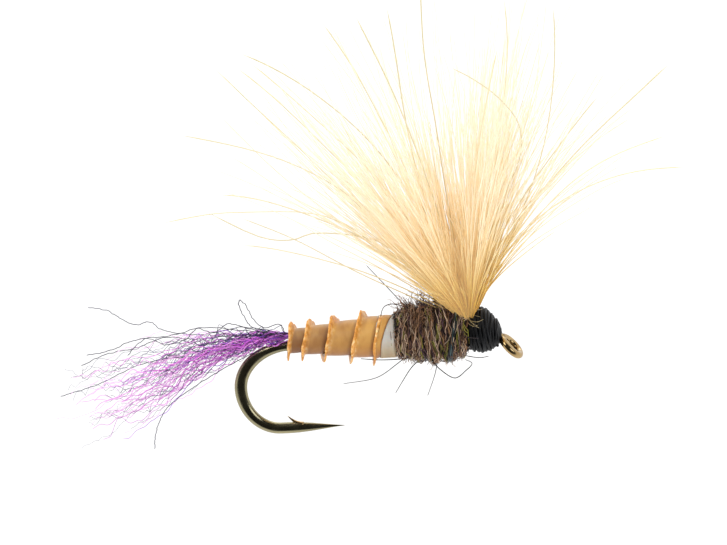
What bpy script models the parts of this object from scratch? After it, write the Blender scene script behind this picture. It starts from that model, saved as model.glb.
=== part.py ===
"""Emerger-style dry fly, tied on a bare size 12 hook, as separate named pieces.

Metres, +Z up. The origin is the centre of the hook eye. +X points forward, from the
tail to the eye, and the shank runs parallel to it. Sizes below are in millimetres and
become metres through MM. The materials that touch on the real fly are kept apart here
by gaps of 0.01 to 0.03 mm, because the whole hook wire is only 0.5 mm thick.
"""
import math
import random

import bmesh
import bpy
from mathutils import Matrix, Vector

MM = 0.001
ASSEMBLY = "dry_fly"
WELD = 1e-7

# Hook, in the XZ plane.
SHANK_Z = 0.608
SHANK_R = 0.25
SHANK_REAR_X = -11.07
SHANK_FRONT_X = -0.95
BEND_REAR_X = -13.78
BEND_MID_Z = -1.617
BEND_LOW_X = -11.90
SPEAR_Z = -3.75
BEND_R = 0.32
FORGED_HALF_Y = 0.21
FORGED_FRONT_X = -11.6
BARB_ROOT = (-10.72, -3.52)
BARB_TIP = (-11.52, -3.12)
EYE_R = 0.60
EYE_WIRE_R = 0.19
EYE_TILT = math.radians(48)

# The wire behind the eye, as (x, z) and radius, and the tapering spear, as x and radius.
NECK = ((-0.46, 0.50, 0.14), (-0.72, 0.608, 0.20))
SPEAR = ((-11.2, 0.30), (-10.5, 0.245), (-9.6, 0.15), (-9.1, 0.09), (-8.68, 0.02))
BARB_RADII = (0.11, 0.07, 0.015)

# Abdomen: a taper about its own axis, which lies above the shank.
BODY_Z = 0.84
BODY_REAR_X = -11.12
BODY_FRONT_X = -6.2
BODY_REAR_R = 0.62
BODY_FRONT_R = 1.09
COLLAR_FRONT_X = -5.66
BIOT_T = 0.05
FIT_GAP = 0.015
THREAD_BASE_R = 0.285
BORE_R = 0.305

# Biot strip: its rear edge lies at X0 + A*t + B*t*t after t turns.
BIOT_X0 = -11.10
BIOT_A = 0.62
BIOT_B = 0.105
BIOT_TURNS = 4.25
BIOT_STEPS = 24
RIB_WIDTH = 0.11
RIB_HEIGHT = 0.28
RIB_HEIGHT_SWING = 0.05

# Tail shuck.
TUNNEL_Z = 1.07
TUNNEL_HALF_Y = 0.31
TUNNEL_HALF_Z = 0.26
TUNNEL_FRONT_X = -8.6
BUTT_R = 0.05
BUTT_PITCH = 0.13
BUTT_LOW_Z = 0.965
LOCK_R = 0.13
CRINKLE = 0.11
CRINKLE_LENGTH = 2.3
SHUCK_STRAY_R = 0.03
SHUCK_STRAY_CRINKLE = 0.05

# Thorax.
THORAX_Z = 0.958
CORE_R = 0.74
NOODLE_R = 0.335
NOODLE_COIL_R = 1.13
NOODLE_SWELL = 0.05
NOODLE_REAR_X = -5.24
NOODLE_FRONT_X = -2.50
NOODLE_TURNS = 3.9
RIB_THREAD_R = 0.05
RIB_THREAD_X = -2.80
RIB_THREAD_LEAN = 0.28
RIB_THREAD_SPAN = 290.0
STEM_TUNNEL_REAR = 0.15
STEM_TUNNEL_HALF_Y = 0.40
STEM_TUNNEL_RISE = 0.24

# Wing.
WING_X = -2.0
WING_ROOT_Z = 1.70
STEM_R = 0.05
STEM_BUTT_Z = 0.97
STEM_BUTT_X = -4.4
STEM_LENGTH = 10.5
WEB_T = 0.05
WEB_START = 1.1
PLUME_Y = (-0.30, -0.10, 0.10, 0.30)
PLUME_TILT = (-20.0, -7.0, 7.0, 20.0)
PLUME_LEAN = (-17.0, 3.0, -8.0, 9.0)
BARB_W = 0.09
BARB_LENGTH = (13.6, 15.6)
BARB_SHORTENING = 0.35
WEB_DEPTH = 5.0
WEB_SPREAD = (("rear", -1, 30.0), ("front", 1, 24.0))
STRAY_START = 0.45
STRAY_BARB_R = 0.045

# Head.
HEAD_REAR_X = -1.90
HEAD_FRONT_X = -0.96
HEAD_LIFT = 0.30
HEAD_WRAPS = 7
HEAD_LEAST_R = 0.78
HEAD_SWELL = 0.34
WRAP_PROFILE = ((0.08, -0.02), (0.5, 0.03), (0.92, -0.02))
WHIP_REAR_X = -0.90
WHIP_FRONT_X = -0.66
WHIP_THREAD_R = 0.055

COLOURS = {
    "wire": ((0.055, 0.045, 0.030, 1.0), 0.28, 1.0),
    "black_thread": ((0.012, 0.012, 0.014, 1.0), 0.60, 0.0),
    "floss": ((0.78, 0.76, 0.70, 1.0), 0.70, 0.0),
    "biot": ((0.60, 0.33, 0.10, 1.0), 0.45, 0.0),
    "shuck": ((0.42, 0.11, 0.62, 1.0), 0.40, 0.0),
    "dubbing": ((0.13, 0.085, 0.060, 1.0), 0.90, 0.0),
    "teal_thread": ((0.020, 0.055, 0.075, 1.0), 0.35, 0.0),
    "cdc": ((0.88, 0.68, 0.38, 1.0), 0.65, 0.0),
}


def clear_scene():
    for old in list(bpy.data.objects):
        bpy.data.objects.remove(old, do_unlink=True)


def new_collection(name):
    group = bpy.data.collections.new(name)
    bpy.context.scene.collection.children.link(group)
    return group


def material_for(node, look):
    colour, roughness, metallic = COLOURS[look]
    material = bpy.data.materials.new(node)
    material.use_nodes = True
    shader = material.node_tree.nodes["Principled BSDF"]
    shader.inputs["Base Color"].default_value = colour
    shader.inputs["Roughness"].default_value = roughness
    shader.inputs["Metallic"].default_value = metallic
    return material


def add_object(name, data, group, look=None):
    made = bpy.data.objects.new(name, data)
    group.objects.link(made)
    if look:
        data.materials.append(material_for(name, look))
    return made


def tube(name, points, radii, group, look, sides=6):
    """A capped tube along points, in millimetres, with a radius at each point."""
    curve = bpy.data.curves.new(name, "CURVE")
    curve.dimensions = "3D"
    curve.bevel_depth = MM
    curve.bevel_resolution = (sides - 4) // 2
    curve.use_fill_caps = True
    spline = curve.splines.new("POLY")
    spline.points.add(len(points) - 1)
    for slot, point, radius in zip(spline.points, points, radii):
        slot.co = (*(Vector(point) * MM), 1.0)
        slot.radius = radius
    spline.use_smooth = True
    return add_object(name, curve, group, look)


def as_mesh(source, group, look):
    """Replace a curve object by a welded mesh object of the same name."""
    name = source.name
    graph = bpy.context.evaluated_depsgraph_get()
    mesh = bpy.data.meshes.new_from_object(source.evaluated_get(graph))
    place = source.matrix_world.copy()
    bpy.data.objects.remove(source, do_unlink=True)
    welded = bmesh.new()
    welded.from_mesh(mesh)
    bmesh.ops.remove_doubles(welded, verts=welded.verts, dist=WELD)
    welded.to_mesh(mesh)
    welded.free()
    mesh.materials.clear()
    made = add_object(name, mesh, group, look)
    made.matrix_world = place
    return made


def turned(name, outline, axis_z, group, look, steps=24):
    """Turn a closed outline of (x, radius) points about a line parallel to X."""
    mesh = bpy.data.meshes.new(name)
    profile = bmesh.new()
    corners = [profile.verts.new((radius * MM, 0.0, x * MM)) for x, radius in outline]
    for first, second in zip(corners, corners[1:] + corners[:1]):
        profile.edges.new((first, second))
    profile.to_mesh(mesh)
    profile.free()
    made = add_object(name, mesh, group, look)
    screw = made.modifiers.new("turn", "SCREW")
    screw.steps = steps
    screw.render_steps = steps
    screw.use_merge_vertices = True
    screw.merge_threshold = WELD
    made.rotation_euler = (0.0, math.pi / 2, 0.0)
    made.location = (0.0, 0.0, axis_z * MM)
    return made


def cutter_box(name, low, high, group):
    mesh = bpy.data.meshes.new(name)
    box = bmesh.new()
    bmesh.ops.create_cube(box, size=1.0)
    size = Vector(high) - Vector(low)
    middle = (Vector(high) + Vector(low)) / 2
    bmesh.ops.scale(box, verts=box.verts, vec=size * MM)
    bmesh.ops.translate(box, verts=box.verts, vec=middle * MM)
    box.to_mesh(mesh)
    box.free()
    made = add_object(name, mesh, group)
    made.hide_render = True
    made.display_type = "WIRE"
    return made


def cutter_oval(name, x_range, centre_z, half_y, half_z, group):
    mesh = bpy.data.meshes.new(name)
    oval = bmesh.new()
    rear, front = x_range
    bmesh.ops.create_cone(oval, cap_ends=True, segments=20, radius1=1.0, radius2=1.0, depth=1.0)
    turn = Matrix.Rotation(math.pi / 2, 3, "Y")
    bmesh.ops.rotate(oval, verts=oval.verts, matrix=turn)
    size = Vector((front - rear, half_y, half_z))
    bmesh.ops.scale(oval, verts=oval.verts, vec=size * MM)
    middle = Vector(((front + rear) / 2, 0.0, centre_z))
    bmesh.ops.translate(oval, verts=oval.verts, vec=middle * MM)
    oval.to_mesh(mesh)
    oval.free()
    made = add_object(name, mesh, group)
    made.hide_render = True
    made.display_type = "WIRE"
    return made


def boolean(target, tool, operation):
    step = target.modifiers.new(tool.name, "BOOLEAN")
    step.operation = operation
    step.solver = "EXACT"
    step.object = tool


def smooth_step(value):
    clamped = max(0.0, min(1.0, value))
    return clamped * clamped * (3.0 - 2.0 * clamped)


def quarter_ellipse(start_angle, centre, half_x, half_z, steps):
    """Points a quarter turn anticlockwise from start_angle, without the first one."""
    for index in range(1, steps + 1):
        angle = start_angle + math.pi / 2 * index / steps
        yield centre[0] + half_x * math.cos(angle), 0.0, centre[1] + half_z * math.sin(angle)


def hook_route():
    """The wire's centre line from just behind the eye to the point, with its radii."""
    points = [Vector((x, 0.0, z)) for x, z, _ in NECK]
    radii = [radius for _, _, radius in NECK]
    for x in (SHANK_FRONT_X, SHANK_REAR_X):
        points.append(Vector((x, 0.0, SHANK_Z)))
        radii.append(SHANK_R)
    upper = (SHANK_REAR_X, BEND_MID_Z)
    lower = (BEND_LOW_X, BEND_MID_Z)
    bend = list(quarter_ellipse(
        math.pi / 2, upper, SHANK_REAR_X - BEND_REAR_X, SHANK_Z - BEND_MID_Z, 8))
    bend += list(quarter_ellipse(
        math.pi, lower, BEND_LOW_X - BEND_REAR_X, BEND_MID_Z - SPEAR_Z, 8))
    for index, point in enumerate(bend):
        points.append(Vector(point))
        radii.append(SHANK_R + (BEND_R - SHANK_R) * smooth_step(index / 5))
    for x, radius in SPEAR:
        points.append(Vector((x, 0.0, SPEAR_Z)))
        radii.append(radius)
    return points, radii


def make_hook(group, cutters):
    points, radii = hook_route()
    wire = as_mesh(tube("hook", points, radii, group, None, sides=12), group, "wire")

    for name, low_y, high_y in (
            ("forge_left", FORGED_HALF_Y, 1.0), ("forge_right", -1.0, -FORGED_HALF_Y)):
        die = cutter_box(
            name, (BEND_REAR_X - 1.0, low_y, SPEAR_Z - 1.0), (FORGED_FRONT_X, high_y, 1.3), cutters)
        boolean(wire, die, "DIFFERENCE")

    root = Vector((BARB_ROOT[0], 0.0, BARB_ROOT[1]))
    tip = Vector((BARB_TIP[0], 0.0, BARB_TIP[1]))
    barb_points = [root.lerp(tip, share) for share in (0.0, 0.5, 1.0)]
    barb = as_mesh(tube("barb_blank", barb_points, BARB_RADII, cutters, None), cutters, None)
    barb.hide_render = True
    barb.display_type = "WIRE"
    boolean(wire, barb, "UNION")

    bpy.ops.mesh.primitive_torus_add(
        major_radius=EYE_R * MM, minor_radius=EYE_WIRE_R * MM,
        major_segments=28, minor_segments=10, rotation=(0.0, EYE_TILT, 0.0))
    eye = bpy.context.object
    eye.name = "eye_blank"
    for other in list(eye.users_collection):
        other.objects.unlink(eye)
    cutters.objects.link(eye)
    eye.hide_render = True
    eye.display_type = "WIRE"
    boolean(wire, eye, "UNION")


def body_radius(x):
    """Outer radius of the abdomen, over the biot strip, at a place on the shank."""
    share = (x - BODY_REAR_X) / (BODY_FRONT_X - BODY_REAR_X)
    return BODY_REAR_R + (BODY_FRONT_R - BODY_REAR_R) * share


def make_underbody(group, cutters):
    thread_outline = (
        (SHANK_FRONT_X, THREAD_BASE_R),
        (SHANK_REAR_X + 0.05, THREAD_BASE_R),
        (SHANK_REAR_X + 0.05, SHANK_R + FIT_GAP),
        (SHANK_FRONT_X, SHANK_R + FIT_GAP),
    )
    turned("thread_base", thread_outline, SHANK_Z, group, "black_thread", steps=20)

    inset = BIOT_T + FIT_GAP
    collar_r = BODY_FRONT_R - FIT_GAP
    outline = (
        (COLLAR_FRONT_X, 0.0),
        (COLLAR_FRONT_X, collar_r - 0.07),
        (COLLAR_FRONT_X - 0.08, collar_r),
        (BODY_FRONT_X + 0.02, collar_r),
        (BODY_FRONT_X, BODY_FRONT_R - inset),
        (BODY_REAR_X, BODY_REAR_R - inset),
        (BODY_REAR_X, 0.0),
    )
    taper = turned("underbody", outline, BODY_Z, group, "floss", steps=28)
    shank_bore = cutter_oval(
        "shank_bore", (BODY_REAR_X - 1.0, COLLAR_FRONT_X + 1.0), SHANK_Z, BORE_R, BORE_R, cutters)
    tail_tunnel = cutter_oval(
        "tail_tunnel", (BODY_REAR_X - 1.0, TUNNEL_FRONT_X), TUNNEL_Z, TUNNEL_HALF_Y,
        TUNNEL_HALF_Z, cutters)
    boolean(taper, shank_bore, "DIFFERENCE")
    boolean(taper, tail_tunnel, "DIFFERENCE")


def biot_rear_x(turn):
    return BIOT_X0 + BIOT_A * turn + BIOT_B * turn * turn


def biot_section(turn):
    """The strip's L-shaped cross-section after so many turns: a band with a raised rear rib."""
    rear = biot_rear_x(turn)
    front = min(biot_rear_x(turn + 1.0), BODY_FRONT_X) - FIT_GAP
    rib = RIB_HEIGHT + RIB_HEIGHT_SWING * math.cos(math.tau * turn)
    corners = (
        (rear, 0.0), (front, 0.0), (front, BIOT_T),
        (rear + RIB_WIDTH, BIOT_T), (rear + RIB_WIDTH * 0.7, rib), (rear, rib),
    )
    outward = Vector((0.0, -math.sin(math.tau * turn), -math.cos(math.tau * turn)))
    centre = Vector((0.0, 0.0, BODY_Z))
    ring = []
    for x, height in corners:
        radius = body_radius(x) - BIOT_T + height
        ring.append((centre + outward * radius + Vector((x, 0.0, 0.0))) * MM)
    return ring


def loft(name, sections, group, look):
    """A closed solid through a row of rings with equal point counts."""
    mesh = bpy.data.meshes.new(name)
    solid = bmesh.new()
    rings = [[solid.verts.new(point) for point in section] for section in sections]
    count = len(rings[0])
    for ring, following in zip(rings, rings[1:]):
        for index in range(count):
            after = (index + 1) % count
            solid.faces.new((ring[index], ring[after], following[after], following[index]))
    solid.faces.new(list(reversed(rings[0])))
    solid.faces.new(rings[-1])
    bmesh.ops.recalc_face_normals(solid, faces=solid.faces)
    solid.to_mesh(mesh)
    solid.free()
    return add_object(name, mesh, group, look)


def make_biot_strip(group):
    count = int(BIOT_TURNS * BIOT_STEPS)
    sections = [biot_section(index / BIOT_STEPS) for index in range(count + 1)]
    loft("biot_strip", sections, group, "biot")


# Each lock of the shuck: its butt's column and row in the tunnel, and where its tip lies.
SHUCK_LOCKS = (
    ((-1.5, 0), (-18.4, -2.3, -4.6)),
    ((-0.5, 0), (-20.6, -1.0, -3.0)),
    ((0.5, 0), (-21.4, 0.9, -3.6)),
    ((1.5, 0), (-18.9, 2.2, -3.9)),
    ((-1.5, 1), (-21.6, -2.6, -1.9)),
    ((-0.5, 1), (-22.9, -0.9, -1.3)),
    ((0.5, 1), (-23.2, 1.0, -2.0)),
    ((1.5, 1), (-22.0, 2.5, -0.9)),
    ((-0.5, 2), (-22.4, -1.4, 0.1)),
    ((0.5, 2), (-21.2, 1.2, 0.8)),
)

# Single shuck fibres: where each starts behind the body, and where its tip lies.
SHUCK_STRAYS = (
    ((-11.18, 0.0, 1.40), (-21.3, 0.3, 3.2)),
    ((-11.18, -0.38, 1.10), (-18.7, -2.9, -5.4)),
    ((-11.18, 0.38, 1.00), (-23.7, 3.1, -2.6)),
)


def shuck_route(start, tip, phase, crinkle):
    """A crinkled path that leaves level and droops or lifts towards its tip."""
    start = Vector(start)
    tip = Vector(tip)
    length = (tip - start).length
    count = int(length / 0.4)
    points = []
    for index in range(count + 1):
        share = index / count
        wave = math.tau * share * length / CRINKLE_LENGTH + phase
        ramp = crinkle * smooth_step(share * length / 4.0)
        point = start.lerp(tip, share)
        point.z = start.z + (tip.z - start.z) * share ** 1.6 + ramp * math.sin(wave)
        point.y += ramp * math.cos(wave)
        points.append(point)
    return points


def make_shuck(group):
    for number, ((column, row), tip) in enumerate(SHUCK_LOCKS, 1):
        butt_y = column * BUTT_PITCH
        butt_z = BUTT_LOW_Z + row * BUTT_PITCH
        inner = TUNNEL_FRONT_X - 0.1 - 0.25 * row
        tie = Vector((BODY_REAR_X - 0.1, butt_y, butt_z))
        route = shuck_route(tie, tip, 1.7 * number, CRINKLE)
        last = len(route) - 1
        radii = [
            (BUTT_R + (LOCK_R - BUTT_R) * smooth_step((index - 1) / 12)) * (1.0 - 0.65 * (index / last) ** 2)
            for index in range(len(route))
        ]
        points = [Vector((inner, butt_y, butt_z))] + route
        tube("shuck_lock_%02d" % number, points, [BUTT_R] + radii, group, "shuck")

    for number, (start, tip) in enumerate(SHUCK_STRAYS, 1):
        route = shuck_route(start, tip, 0.9 * number, SHUCK_STRAY_CRINKLE)
        tube("shuck_stray_%d" % number, route, [SHUCK_STRAY_R] * len(route), group, "shuck")


def make_thorax(group, cutters):
    core_rear = COLLAR_FRONT_X + FIT_GAP
    core_front = WING_X - STEM_R - FIT_GAP
    outline = (
        (core_front, 0.0),
        (core_front, CORE_R - 0.10),
        (core_front - 0.15, CORE_R),
        (core_rear + 0.10, CORE_R),
        (core_rear, CORE_R - 0.08),
        (core_rear, 0.0),
    )
    core = turned("thorax_underwraps", outline, THORAX_Z, group, "black_thread", steps=24)
    bore = cutter_oval("core_bore", (core_rear - 1.0, core_front + 1.0), SHANK_Z, BORE_R, BORE_R, cutters)
    boolean(core, bore, "DIFFERENCE")
    tunnel = cutter_box(
        "stem_tunnel", (STEM_BUTT_X - STEM_TUNNEL_REAR, -STEM_TUNNEL_HALF_Y, SHANK_Z),
        (core_front + 1.0, STEM_TUNNEL_HALF_Y, STEM_BUTT_Z + STEM_TUNNEL_RISE), cutters)
    boolean(core, tunnel, "DIFFERENCE")

    steps = 20
    count = int(NOODLE_TURNS * steps)
    points = []
    for index in range(count + 1):
        share = index / count
        angle = math.tau * index / steps
        radius = NOODLE_COIL_R + NOODLE_SWELL * math.sin(math.pi * share)
        x = NOODLE_REAR_X + (NOODLE_FRONT_X - NOODLE_REAR_X) * share
        points.append((x, -radius * math.sin(angle), THORAX_Z - radius * math.cos(angle)))
    tube("dubbing_noodle", points, [NOODLE_R] * len(points), group, "dubbing", sides=8)

    count = 22
    band_r = NOODLE_COIL_R + NOODLE_SWELL + NOODLE_R + RIB_THREAD_R + FIT_GAP
    points = []
    for index in range(count + 1):
        angle = math.radians(RIB_THREAD_SPAN) * (index / count - 0.5)
        x = RIB_THREAD_X - RIB_THREAD_LEAN * math.cos(angle)
        points.append((x, -band_r * math.sin(angle), THORAX_Z - band_r * math.cos(angle)))
    tube("thorax_rib_thread", points, [RIB_THREAD_R] * len(points), group, "teal_thread")


def plume_point(plume_y, tilt, sideways, height):
    """A point in a wing plane that holds the X direction and leans sideways by tilt."""
    return Vector((
        WING_X + sideways,
        plume_y + height * math.sin(tilt),
        WING_ROOT_Z + height * math.cos(tilt),
    ))


def make_stem(name, plume_y, tilt, lean, group):
    points = [
        Vector((STEM_BUTT_X, plume_y, STEM_BUTT_Z)),
        Vector((WING_X - 0.30, plume_y, STEM_BUTT_Z)),
        Vector((WING_X - 0.10, plume_y, STEM_BUTT_Z + 0.06)),
        Vector((WING_X - 0.02, plume_y, STEM_BUTT_Z + 0.20)),
        Vector((WING_X, plume_y, STEM_BUTT_Z + 0.40)),
    ]
    radii = [STEM_R] * len(points)
    count = 5
    for index in range(count + 1):
        along = STEM_LENGTH * index / count
        points.append(plume_point(plume_y, tilt, along * math.sin(lean), along * math.cos(lean)))
        radii.append(STEM_R * (1.0 - 0.65 * index / count))
    tube(name, points, radii, group, "cdc")


def barb_angle(rest, along, length):
    """Barbs start near their own angle and curl a little further out towards the tip."""
    return rest * (0.90 + 0.14 * (along / length) ** 2)


def web_outline(spread, lengths, web_depth):
    """A comb: barbs fanned from the stem side out to spread, joined by a web at the root.

    Each point is (sideways, height), with the stem on the line sideways = 0.
    """
    clearance = STEM_R + FIT_GAP + BARB_W / 2
    last = len(lengths) - 1
    outline = []
    for index, length in enumerate(lengths):
        rest = spread * index / last
        valley = web_depth * (1.0 - 0.25 * index / last)
        rows = [valley + (length - valley) * share for share in (0.0, 0.35, 0.7, 1.0)]
        left = []
        right = []
        for row in rows:
            angle = barb_angle(rest, row, length)
            half = BARB_W / 2 * (1.0 - 0.7 * (row - valley) / (length - valley))
            middle = Vector((clearance + row * math.sin(angle), row * math.cos(angle)))
            across = Vector((math.cos(angle), -math.sin(angle))) * half
            left.append(middle - across)
            right.append(middle + across)
        outline += left + right[::-1]
    outer = barb_angle(spread, WEB_START, lengths[-1])
    outline.append(Vector((clearance + WEB_START * math.sin(outer), WEB_START * math.cos(outer))))
    outline.append(Vector((clearance - BARB_W / 2, WEB_START)))
    return outline


def make_web(name, plume_y, tilt, lean, side, spread, lengths, web_depth, group):
    curve = bpy.data.curves.new(name, "CURVE")
    curve.dimensions = "2D"
    curve.fill_mode = "BOTH"
    curve.extrude = WEB_T / 2 * MM
    outline = web_outline(spread, lengths, web_depth)
    spline = curve.splines.new("POLY")
    spline.points.add(len(outline) - 1)
    for slot, corner in zip(spline.points, outline):
        across = side * corner.x
        slot.co = (
            (across * math.cos(lean) + corner.y * math.sin(lean)) * MM,
            (corner.y * math.cos(lean) - across * math.sin(lean)) * MM,
            0.0, 1.0)
    spline.use_cyclic_u = True
    web = add_object(name, curve, group, "cdc")
    web.rotation_euler = (math.pi / 2 - tilt, 0.0, 0.0)
    web.location = Vector((WING_X, plume_y, WING_ROOT_Z)) * MM


# Single barbs that stand out of the wing: where each leaves the root, in X from WING_X and in Y,
# the tilt of its plane in degrees, and its tip, along X and up that plane.
STRAY_BARBS = (
    (-0.08, -0.42, -29.0, (-11.4, 14.6)),
    (0.08, -0.42, -29.0, (6.4, 14.6)),
    (-0.08, -0.20, -13.5, (-15.1, 6.6)),
    (0.08, -0.20, -13.5, (11.7, 11.6)),
    (-0.12, 0.00, 0.0, (-8.5, 15.1)),
    (0.00, 0.00, 0.0, (-1.3, 16.8)),
    (0.12, 0.00, 0.0, (11.8, 7.5)),
    (-0.08, 0.20, 13.5, (-12.6, 9.4)),
    (0.08, 0.20, 13.5, (3.2, 16.4)),
    (-0.08, 0.42, 29.0, (-6.6, 14.8)),
    (0.08, 0.42, 29.0, (8.6, 12.4)),
)


def make_stray_barbs(group):
    for number, (root_x, root_y, tilt, (reach, height)) in enumerate(STRAY_BARBS, 1):
        count = 9
        points = []
        for index in range(count + 1):
            share = index / count
            out = root_x + (reach - root_x) * share ** 1.3
            up = STRAY_START + (height - STRAY_START) * (1.0 - (1.0 - share) ** 1.25)
            points.append(plume_point(root_y, math.radians(tilt), out, up))
        radii = [STRAY_BARB_R * (1.0 - 0.5 * index / count) for index in range(count + 1)]
        tube("stray_barb_%02d" % number, points, radii, group, "cdc")


def make_wing(group):
    chance = random.Random(12)
    for number, (plume_y, tilt, lean) in enumerate(zip(PLUME_Y, PLUME_TILT, PLUME_LEAN), 1):
        tilt = math.radians(tilt)
        lean = math.radians(lean)
        make_stem("cdc_plume_%d_stem" % number, plume_y, tilt, lean, group)
        for name, side, spread in WEB_SPREAD:
            lengths = [chance.uniform(*BARB_LENGTH) - BARB_SHORTENING * index for index in range(6)]
            make_web(
                "cdc_plume_%d_%s_barbs" % (number, name), plume_y, tilt, lean, side,
                math.radians(spread), lengths, WEB_DEPTH, group)
    make_stray_barbs(group)


def head_outline():
    """Stacked thread wraps with rounded backs, from the eye end to the rear face."""
    outer = []
    for index in range(HEAD_WRAPS):
        for share, lift in WRAP_PROFILE:
            place = (index + share) / HEAD_WRAPS
            x = HEAD_FRONT_X + (HEAD_REAR_X - HEAD_FRONT_X) * place
            dome = math.sin(math.pi * min(1.0, 0.12 + place) * 0.62)
            outer.append((x, HEAD_LEAST_R + HEAD_SWELL * dome + lift))
    return outer


def make_head(group, cutters):
    outer = head_outline()
    outline = [(outer[0][0], 0.0)] + outer + [(outer[-1][0], 0.0)]
    wraps = turned("head_wraps", outline, SHANK_Z + HEAD_LIFT, group, "black_thread", steps=22)
    bore = cutter_oval("head_bore", (HEAD_REAR_X - 1.0, HEAD_FRONT_X + 0.5), SHANK_Z, BORE_R, BORE_R, cutters)
    boolean(wraps, bore, "DIFFERENCE")

    turns = 2
    steps = 16
    count = turns * steps
    points = []
    for index in range(count + 1):
        angle = math.tau * index / steps
        x = WHIP_REAR_X + (WHIP_FRONT_X - WHIP_REAR_X) * index / count
        radius = SHANK_R + WHIP_THREAD_R + FIT_GAP
        points.append((x, -radius * math.sin(angle), SHANK_Z - radius * math.cos(angle)))
    tube("whip_finish", points, [WHIP_THREAD_R] * len(points), group, "black_thread")


def main():
    clear_scene()
    parts = new_collection(ASSEMBLY)
    cutters = new_collection("cutters")
    make_hook(parts, cutters)
    make_underbody(parts, cutters)
    make_biot_strip(parts)
    make_shuck(parts)
    make_thorax(parts, cutters)
    make_wing(parts)
    make_head(parts, cutters)


main()
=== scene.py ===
"""Looks of the dry fly: hook, biot body, fur thorax, feather wing, thread head and crinkled shuck.

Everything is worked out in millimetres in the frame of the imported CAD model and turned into
metres where a mesh is made. Fibres are thin closed tubes, built many at a time with numpy.
"""

import math

import bpy
import numpy as np
from mathutils import Matrix, Vector


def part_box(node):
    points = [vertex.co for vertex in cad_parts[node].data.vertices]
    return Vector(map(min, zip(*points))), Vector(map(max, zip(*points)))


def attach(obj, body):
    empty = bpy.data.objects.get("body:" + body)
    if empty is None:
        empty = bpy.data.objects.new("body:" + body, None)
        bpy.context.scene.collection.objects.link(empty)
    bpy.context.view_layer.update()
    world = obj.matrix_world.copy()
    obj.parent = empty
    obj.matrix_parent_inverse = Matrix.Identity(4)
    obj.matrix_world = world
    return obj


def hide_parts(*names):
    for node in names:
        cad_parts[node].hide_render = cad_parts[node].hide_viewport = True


MM = 0.001
BODY = "root"

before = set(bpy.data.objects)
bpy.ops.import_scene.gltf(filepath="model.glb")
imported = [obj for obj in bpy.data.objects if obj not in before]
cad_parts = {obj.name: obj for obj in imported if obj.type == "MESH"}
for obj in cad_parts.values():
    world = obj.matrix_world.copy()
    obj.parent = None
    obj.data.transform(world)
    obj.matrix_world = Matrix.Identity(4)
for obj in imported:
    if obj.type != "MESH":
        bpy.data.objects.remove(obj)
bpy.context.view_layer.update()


def span(node):
    """A CAD node's lowest and highest corners, in millimetres."""
    low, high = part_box(node)
    return np.array(low) / MM, np.array(high) / MM


def nodes_named(*starts):
    return sorted(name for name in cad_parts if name.startswith(starts))


# ---------------------------------------------------------------- measures of the frame
HOOK_LOW, _ = span("hook")
THREAD_LOW, THREAD_HIGH = span("thread_base")
UNDER_LOW, UNDER_HIGH = span("underbody")
CORE_LOW, CORE_HIGH = span("thorax_underwraps")
HEAD_LOW, _ = span("head_wraps")

SHANK_Z = (THREAD_LOW[2] + THREAD_HIGH[2]) / 2
BODY_Z = (UNDER_LOW[2] + UNDER_HIGH[2]) / 2
COLLAR_R = (UNDER_HIGH[1] - UNDER_LOW[1]) / 2
BODY_REAR_X = UNDER_LOW[0]
COLLAR_FRONT_X = UNDER_HIGH[0]
THORAX_Z = (CORE_LOW[2] + CORE_HIGH[2]) / 2
WING_X = (CORE_HIGH[0] + HEAD_LOW[0]) / 2
WING_ROOT_Z = 1.70


# ---------------------------------------------------------------- small maths
def smooth(value):
    """Eases from 0 to 1 as value does, flat at both ends."""
    clamped = np.clip(value, 0.0, 1.0)
    return clamped * clamped * (3.0 - 2.0 * clamped)


def unit(vectors):
    """The same directions, each one unit long."""
    length = np.linalg.norm(vectors, axis=-1, keepdims=True)
    return vectors / np.maximum(length, 1e-12)


def circle(steps):
    """Angles of evenly spaced steps once round."""
    return np.arange(steps) * math.tau / steps


def waves(rng, count, steps, cycles):
    """Smooth random curves, one a row: sums of three sines at about cycles along the row."""
    place = np.linspace(0.0, 1.0, steps)[None, :]
    total = np.zeros((count, steps))
    for scale, weight in ((0.5, 0.5), (1.0, 0.35), (2.1, 0.15)):
        phase = rng.uniform(0.0, math.tau, (count, 1))
        rate = cycles * scale * rng.uniform(0.7, 1.3, (count, 1))
        total += weight * np.sin(math.tau * rate * place + phase)
    return total


def through(points, steps):
    """An even, smooth path of so many steps through a few points."""
    points = np.asarray(points, float)
    padded = np.vstack([2 * points[0] - points[1], points, 2 * points[-1] - points[-2]])
    place = np.linspace(0.0, len(points) - 1.0001, steps)
    index = place.astype(int)
    t = (place - index)[:, None]
    a, b, c, d = (padded[index + shift] for shift in range(4))
    square = (2 * a - 5 * b + 4 * c - d) * t ** 2
    cube = (3 * b - a - 3 * c + d) * t ** 3
    return 0.5 * (2 * b + (c - a) * t + square + cube)


# ---------------------------------------------------------------- mesh building
def paint(mesh, label, values):
    """Give each point of a mesh a number that its material can read."""
    layer = mesh.attributes.new(label, "FLOAT", "POINT")
    layer.data.foreach_set("value", np.asarray(values, np.float32))


def tube_quads(rings, corners):
    """Corner indices of the faces that join each ring to the next."""
    ring, corner = np.meshgrid(np.arange(rings - 1), np.arange(corners), indexing="ij")
    after = (corner + 1) % corners
    quads = (
        ring * corners + corner, ring * corners + after,
        (ring + 1) * corners + after, (ring + 1) * corners + corner)
    return np.stack(quads, axis=-1).reshape(-1, 4)


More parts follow.
